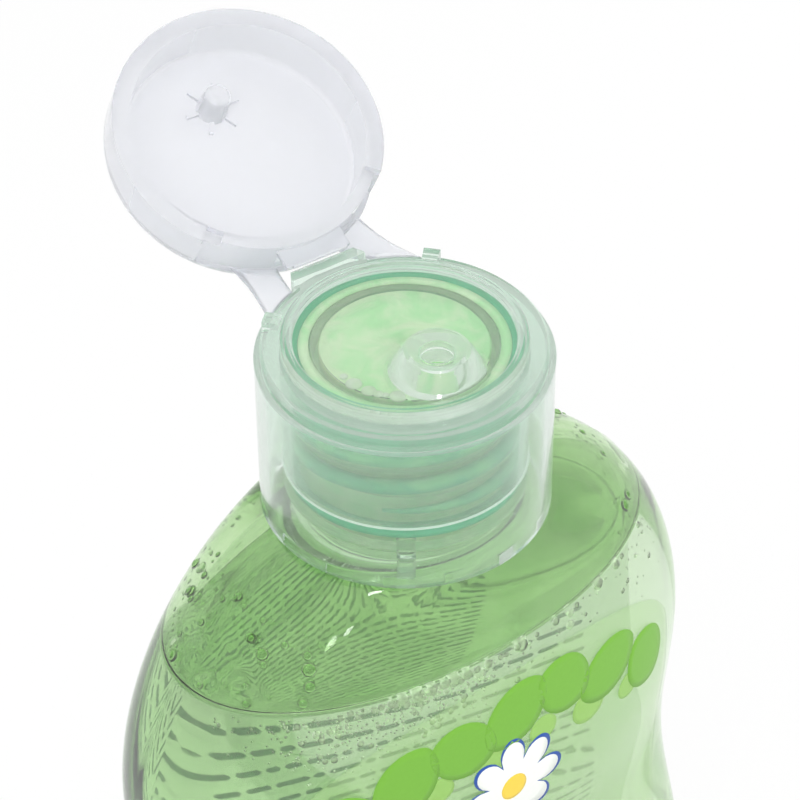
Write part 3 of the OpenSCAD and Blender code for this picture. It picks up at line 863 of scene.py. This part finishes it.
# ---------------------------------------------------------------- hinge straps
HINGE_Y, HINGE_Z, OPEN_ANGLE = 18.82, 23.73, math.radians(151.2)
STRAP_R, STRAP_T, STRAP_W = 17.05, 0.42, 6.0
STRAP_FOOT, STRAP_HEAD = (30, 22.6), (23, 28.2)  # bearing from the hinge in degrees, and height with the lid shut
STRAP_BOW, STRAP_WAIST = 0.35, 0.1


def on_bottle(p):
    """From the cap's own frame, standing on its lower rim, to the bottle's."""
    x, y, z = p
    c, s = math.cos(CAP_TURN), math.sin(CAP_TURN)
    return Vector((x * c - y * s, x * s + y * c, z + BODY_H))


def opened(p):
    x, y, z = p
    y, z = y - HINGE_Y, z - HINGE_Z
    c, s = math.cos(OPEN_ANGLE), math.sin(OPEN_ANGLE)
    return (x, HINGE_Y + y * c + z * s, HINGE_Z - y * s + z * c)


def make_strap(hand, name):
    """A flat moulded strap from the skirt's top to the lid's wall, bowed and a little waisted."""
    steps, across = 28, 10
    half = math.asin(STRAP_W / 2 / 17.25)
    low, high = [], []
    for i in range(across + 1):
        turn = half * (2 * i / across - 1)
        for end, (bearing, z) in ((low, STRAP_FOOT), (high, STRAP_HEAD)):
            t = hand * math.radians(bearing) + turn
            p = (STRAP_R * math.sin(t), STRAP_R * math.cos(t), z)
            end.append(on_bottle(opened(p) if end is high else p))
    mid_low, mid_high = low[across // 2], high[across // 2]
    out = (high[0] - low[0]).cross(low[-1] - low[0]).normalized() * hand
    points = []
    for side_of in (-0.5, 0.5):
        for k in range(steps + 1):
            f = k / steps
            waist = 1 - STRAP_WAIST * math.sin(math.pi * f)
            for i in range(across + 1):
                middle = mid_low.lerp(mid_high, f)
                place = middle + (low[i].lerp(high[i], f) - middle) * waist
                thin = 1 - abs(2 * i / across - 1) ** 8 * 0.6
                bow = STRAP_BOW * math.sin(math.pi * f)
                points.append(place + out * (side_of * STRAP_T * thin + bow))
    n, layer = across + 1, (across + 1) * (steps + 1)
    faces = []
    for k in range(steps):
        for i in range(across):
            a = k * n + i
            faces.append((a, a + 1, a + n + 1, a + n))
            faces.append((layer + a, layer + a + n, layer + a + n + 1, layer + a + 1))
    edge = ([i for i in range(across)] + [k * n + across for k in range(steps)]
            + [steps * n + i for i in range(across, 0, -1)] + [k * n for k in range(steps, 0, -1)])
    for a, b in zip(edge, edge[1:] + edge[:1]):
        faces.append((a, b, layer + b, layer + a))
    piece = mesh_piece(name, points, faces, LID_PP)
    mend_normals(piece)
    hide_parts(name)
    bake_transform(piece)


for hand, name in ((-1, "strap_left"), (1, "strap_right")):
    make_strap(hand, name)

# ---------------------------------------------------------------- what stands for what
for name, material in (("cap_base", CAP_PP), ("lid", LID_PP), ("hinge_film", LID_PP)):
    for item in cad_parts[name].material_slots:
        item.material = material

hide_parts("bottle")
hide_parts("shampoo")
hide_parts("front_label")
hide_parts("back_label")
for piece in ([bottle, gel, thread, lugs, wet_coat, front_film, back_film, fine_bubbles, large_bubbles]
              + neck_gel + prints + back_prints + drops + [line_bubbles]):
    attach(piece, "bottle")
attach(sleeve_rim, "cap")


# ---------------------------------------------------------------- floor, light and camera
def seen_directly(tree):
    """1 where the camera sees a surface, straight or in and through gloss and clear solids, and 0 elsewhere."""
    path = add(tree, "ShaderNodeLightPath")
    seen = add(tree, "ShaderNodeMath", {0: path.outputs["Is Camera Ray"], 1: path.outputs["Is Glossy Ray"]},
               operation="MAXIMUM")
    return add(tree, "ShaderNodeMath", {0: seen.outputs[0], 1: path.outputs["Is Transmission Ray"]},
               operation="MAXIMUM").outputs[0]


def white_room():
    """A plain pale floor and room: pure white to the camera and to clear and glossy surfaces."""
    made, tree = new_material("white_floor")
    part = add(tree, "ShaderNodeMath", {0: seen_directly(tree), 1: 0.85}, operation="MULTIPLY")
    matt = add(tree, "ShaderNodeBsdfDiffuse", {"Color": srgb("#F2F2F2")})
    glow = add(tree, "ShaderNodeEmission", {"Color": srgb("#FFFFFF"), "Strength": 1.0})
    mixed = add(tree, "ShaderNodeMixShader", {0: part.outputs[0], 1: matt.outputs[0], 2: glow.outputs[0]})
    finish_material(tree, mixed)
    floor = mesh_piece("floor", [(-4000, -4000, 0), (4000, -4000, 0), (4000, 4000, 0), (-4000, 4000, 0)],
                       [(0, 1, 2, 3)], made, smooth=False)
    world = bpy.data.worlds.new("white_room")
    bpy.context.scene.world = world
    world.use_nodes = True
    tree = world.node_tree
    tree.nodes.clear()
    level = add(tree, "ShaderNodeMapRange", {"Value": seen_directly(tree), "To Min": 0.88, "To Max": 1.0})
    sky = add(tree, "ShaderNodeBackground", {"Color": srgb("#FFFFFF"), "Strength": level.outputs[0]})
    add(tree, "ShaderNodeOutputWorld", {"Surface": sky.outputs[0]})


def lamp(name, place, aim, size, watts):
    data = bpy.data.lights.new(name, "AREA")
    data.shape = "RECTANGLE"
    data.size, data.size_y = size
    data.energy = watts
    made = bpy.data.objects.new(name, data)
    bpy.context.scene.collection.objects.link(made)
    made.location = place
    made.rotation_euler = (Vector(aim) - Vector(place)).to_track_quat("-Z", "Y").to_euler()
    return made


def photo_camera():
    """The camera as fitted to the cap's circles and the shoulder in the photograph."""
    turn, drop, roll = math.radians(37.75), math.radians(40.43), math.radians(-0.55)
    right = Vector((math.cos(turn), -math.sin(turn), 0))
    ahead = Vector((math.sin(turn) * math.cos(drop), math.cos(turn) * math.cos(drop), -math.sin(drop)))
    down = ahead.cross(right)
    c, s = math.cos(roll), math.sin(roll)
    right, down = c * right - s * down, s * right + c * down
    place = Vector((0, 0, BODY_H)) - (0.73 * right + 10.73 * down + 370.13 * ahead)
    data = bpy.data.cameras.new("photo_camera")
    data.lens, data.sensor_width = 135.0, 36.0
    data.clip_start = 0.01
    made = bpy.data.objects.new("photo_camera", data)
    bpy.context.scene.collection.objects.link(made)
    turned_to = Matrix((right, -down, -ahead)).transposed().to_4x4()
    made.matrix_world = Matrix.Translation(place * MM) @ turned_to
    bpy.context.scene.camera = made


white_room()
key = lamp("key_box", (-0.55, -0.35, 0.75), (0, 0, 0.12), (0.5, 0.5), 2.5)
side_box = lamp("side_box", (0.6, -0.25, 0.55), (0, 0, 0.12), (0.25, 0.6), 1.5)
for box in (key, side_box):
    box.visible_glossy = False
    box.visible_transmission = False
lamp("window_left", (-0.25, -0.44, 0.48), (-0.02, -0.012, 0.146), (0.02, 0.06), 0.035)
lamp("window_high", (-0.1, -0.2, 0.9), (0, 0, 0.14), (0.08, 0.08), 0.3)
photo_camera()
scene = bpy.context.scene
scene.view_settings.view_transform = "Standard"
# light scattered inside clear solids needs many bounces to get out again
scene.cycles.max_bounces = 24
scene.cycles.transmission_bounces = 24
scene.cycles.glossy_bounces = 24
scene.cycles.diffuse_bounces = 5
scene.cycles.volume_bounces = 6
scene.cycles.transparent_max_bounces = 24
scene.cycles.blur_glossy = 0.0
